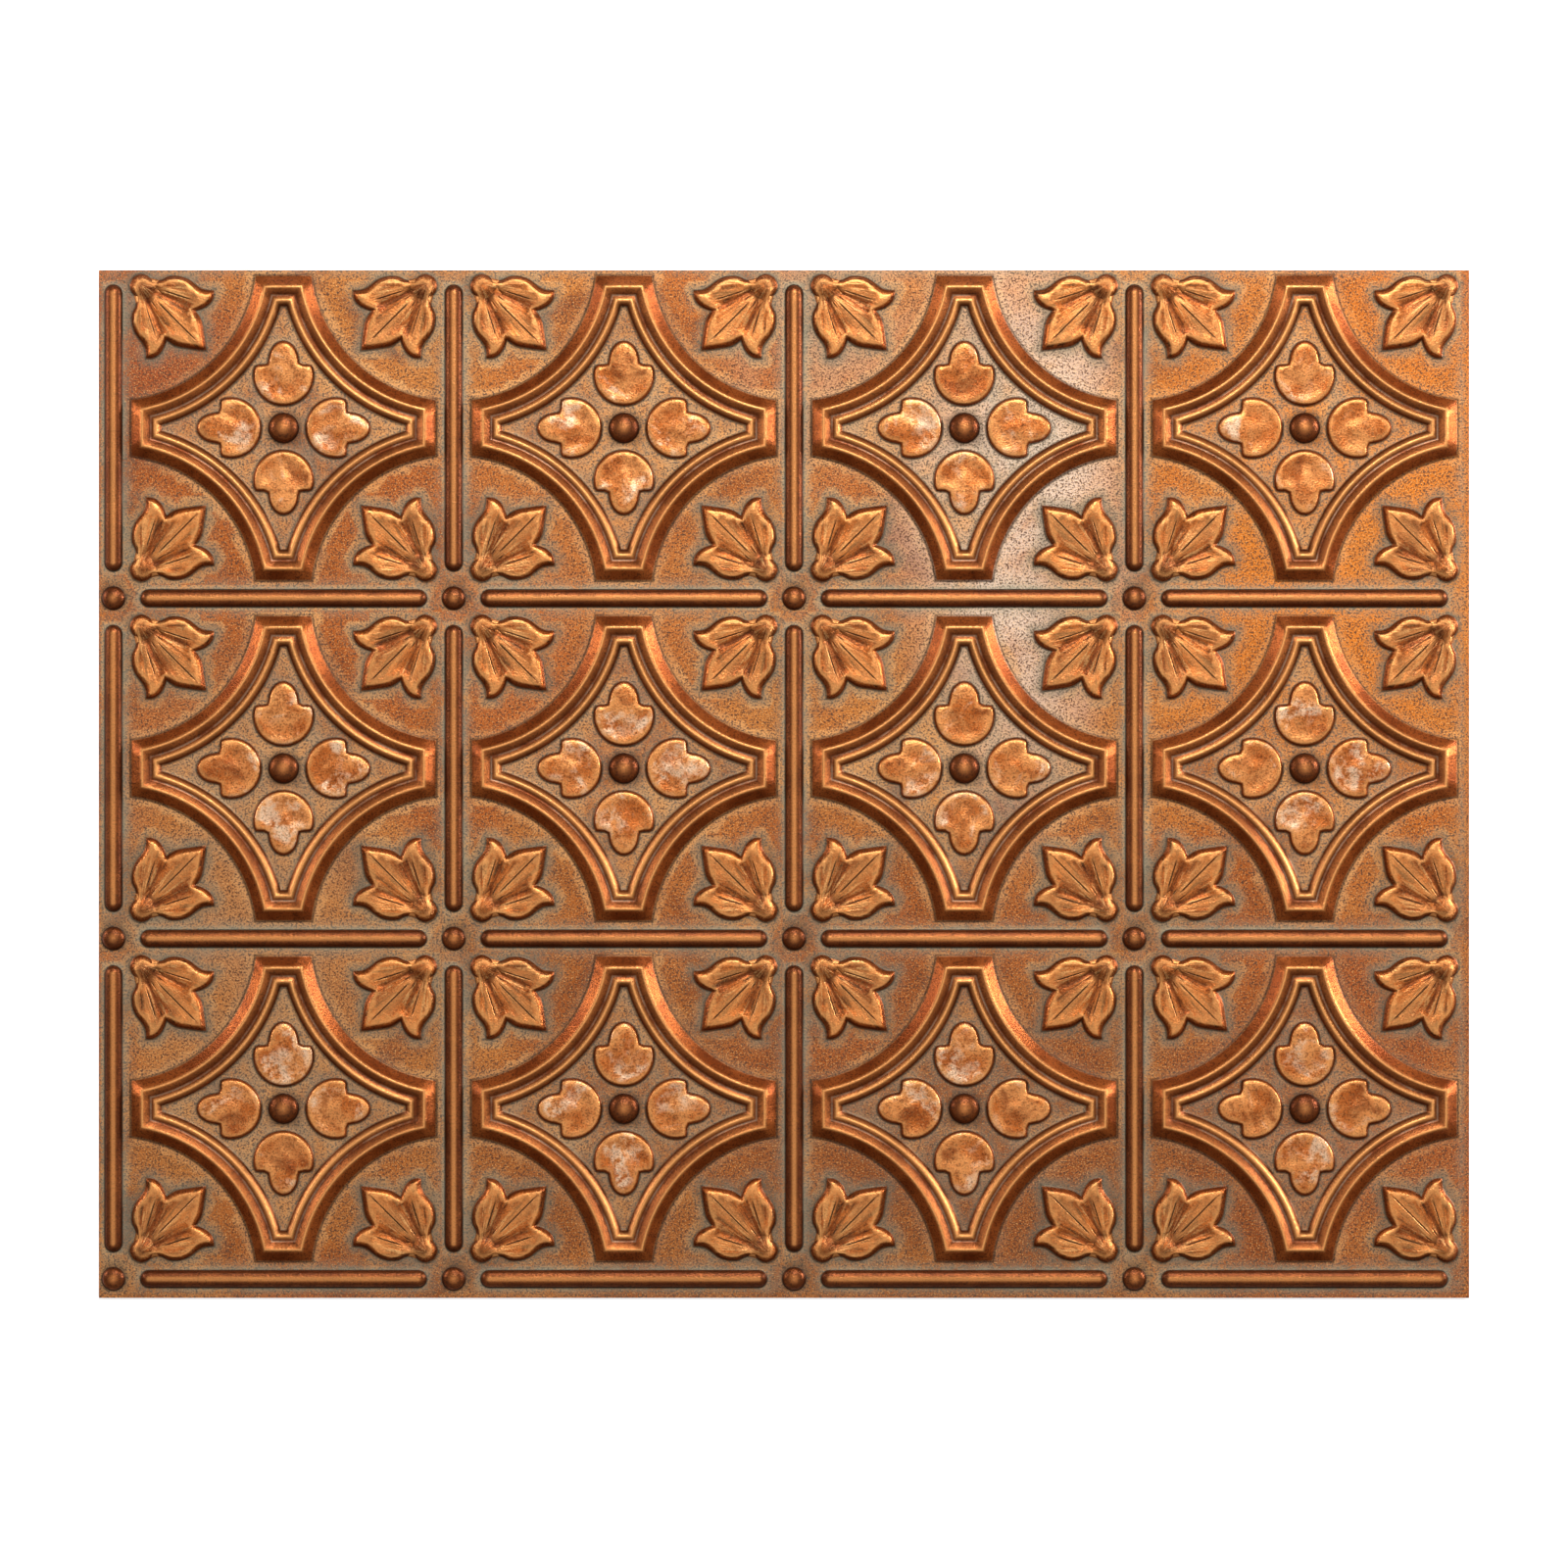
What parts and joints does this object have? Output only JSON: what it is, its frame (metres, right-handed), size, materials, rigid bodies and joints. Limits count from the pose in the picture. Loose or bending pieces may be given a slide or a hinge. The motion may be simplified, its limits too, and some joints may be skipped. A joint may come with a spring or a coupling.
{
  "type": "pvc ceiling panel",
  "caption": "Rectangular faux-tin PVC ceiling panel, a thin formed sheet with a relief of star mouldings, petals and leaves in square tiles.",
  "frame": {"origin": "middle of the panel's length and width, on its flat underside", "axes": "+X along the panel's length, +Y up the panel as the picture shows it, +Z out of the embossed face"},
  "size_m": [0.6096, 0.4572, 0.0052],
  "materials": {
    "copper_pvc": "satin"
  },
  "bodies": {
    "root": {"panel_sheet": "copper_pvc"}
  },
  "joints": []
}
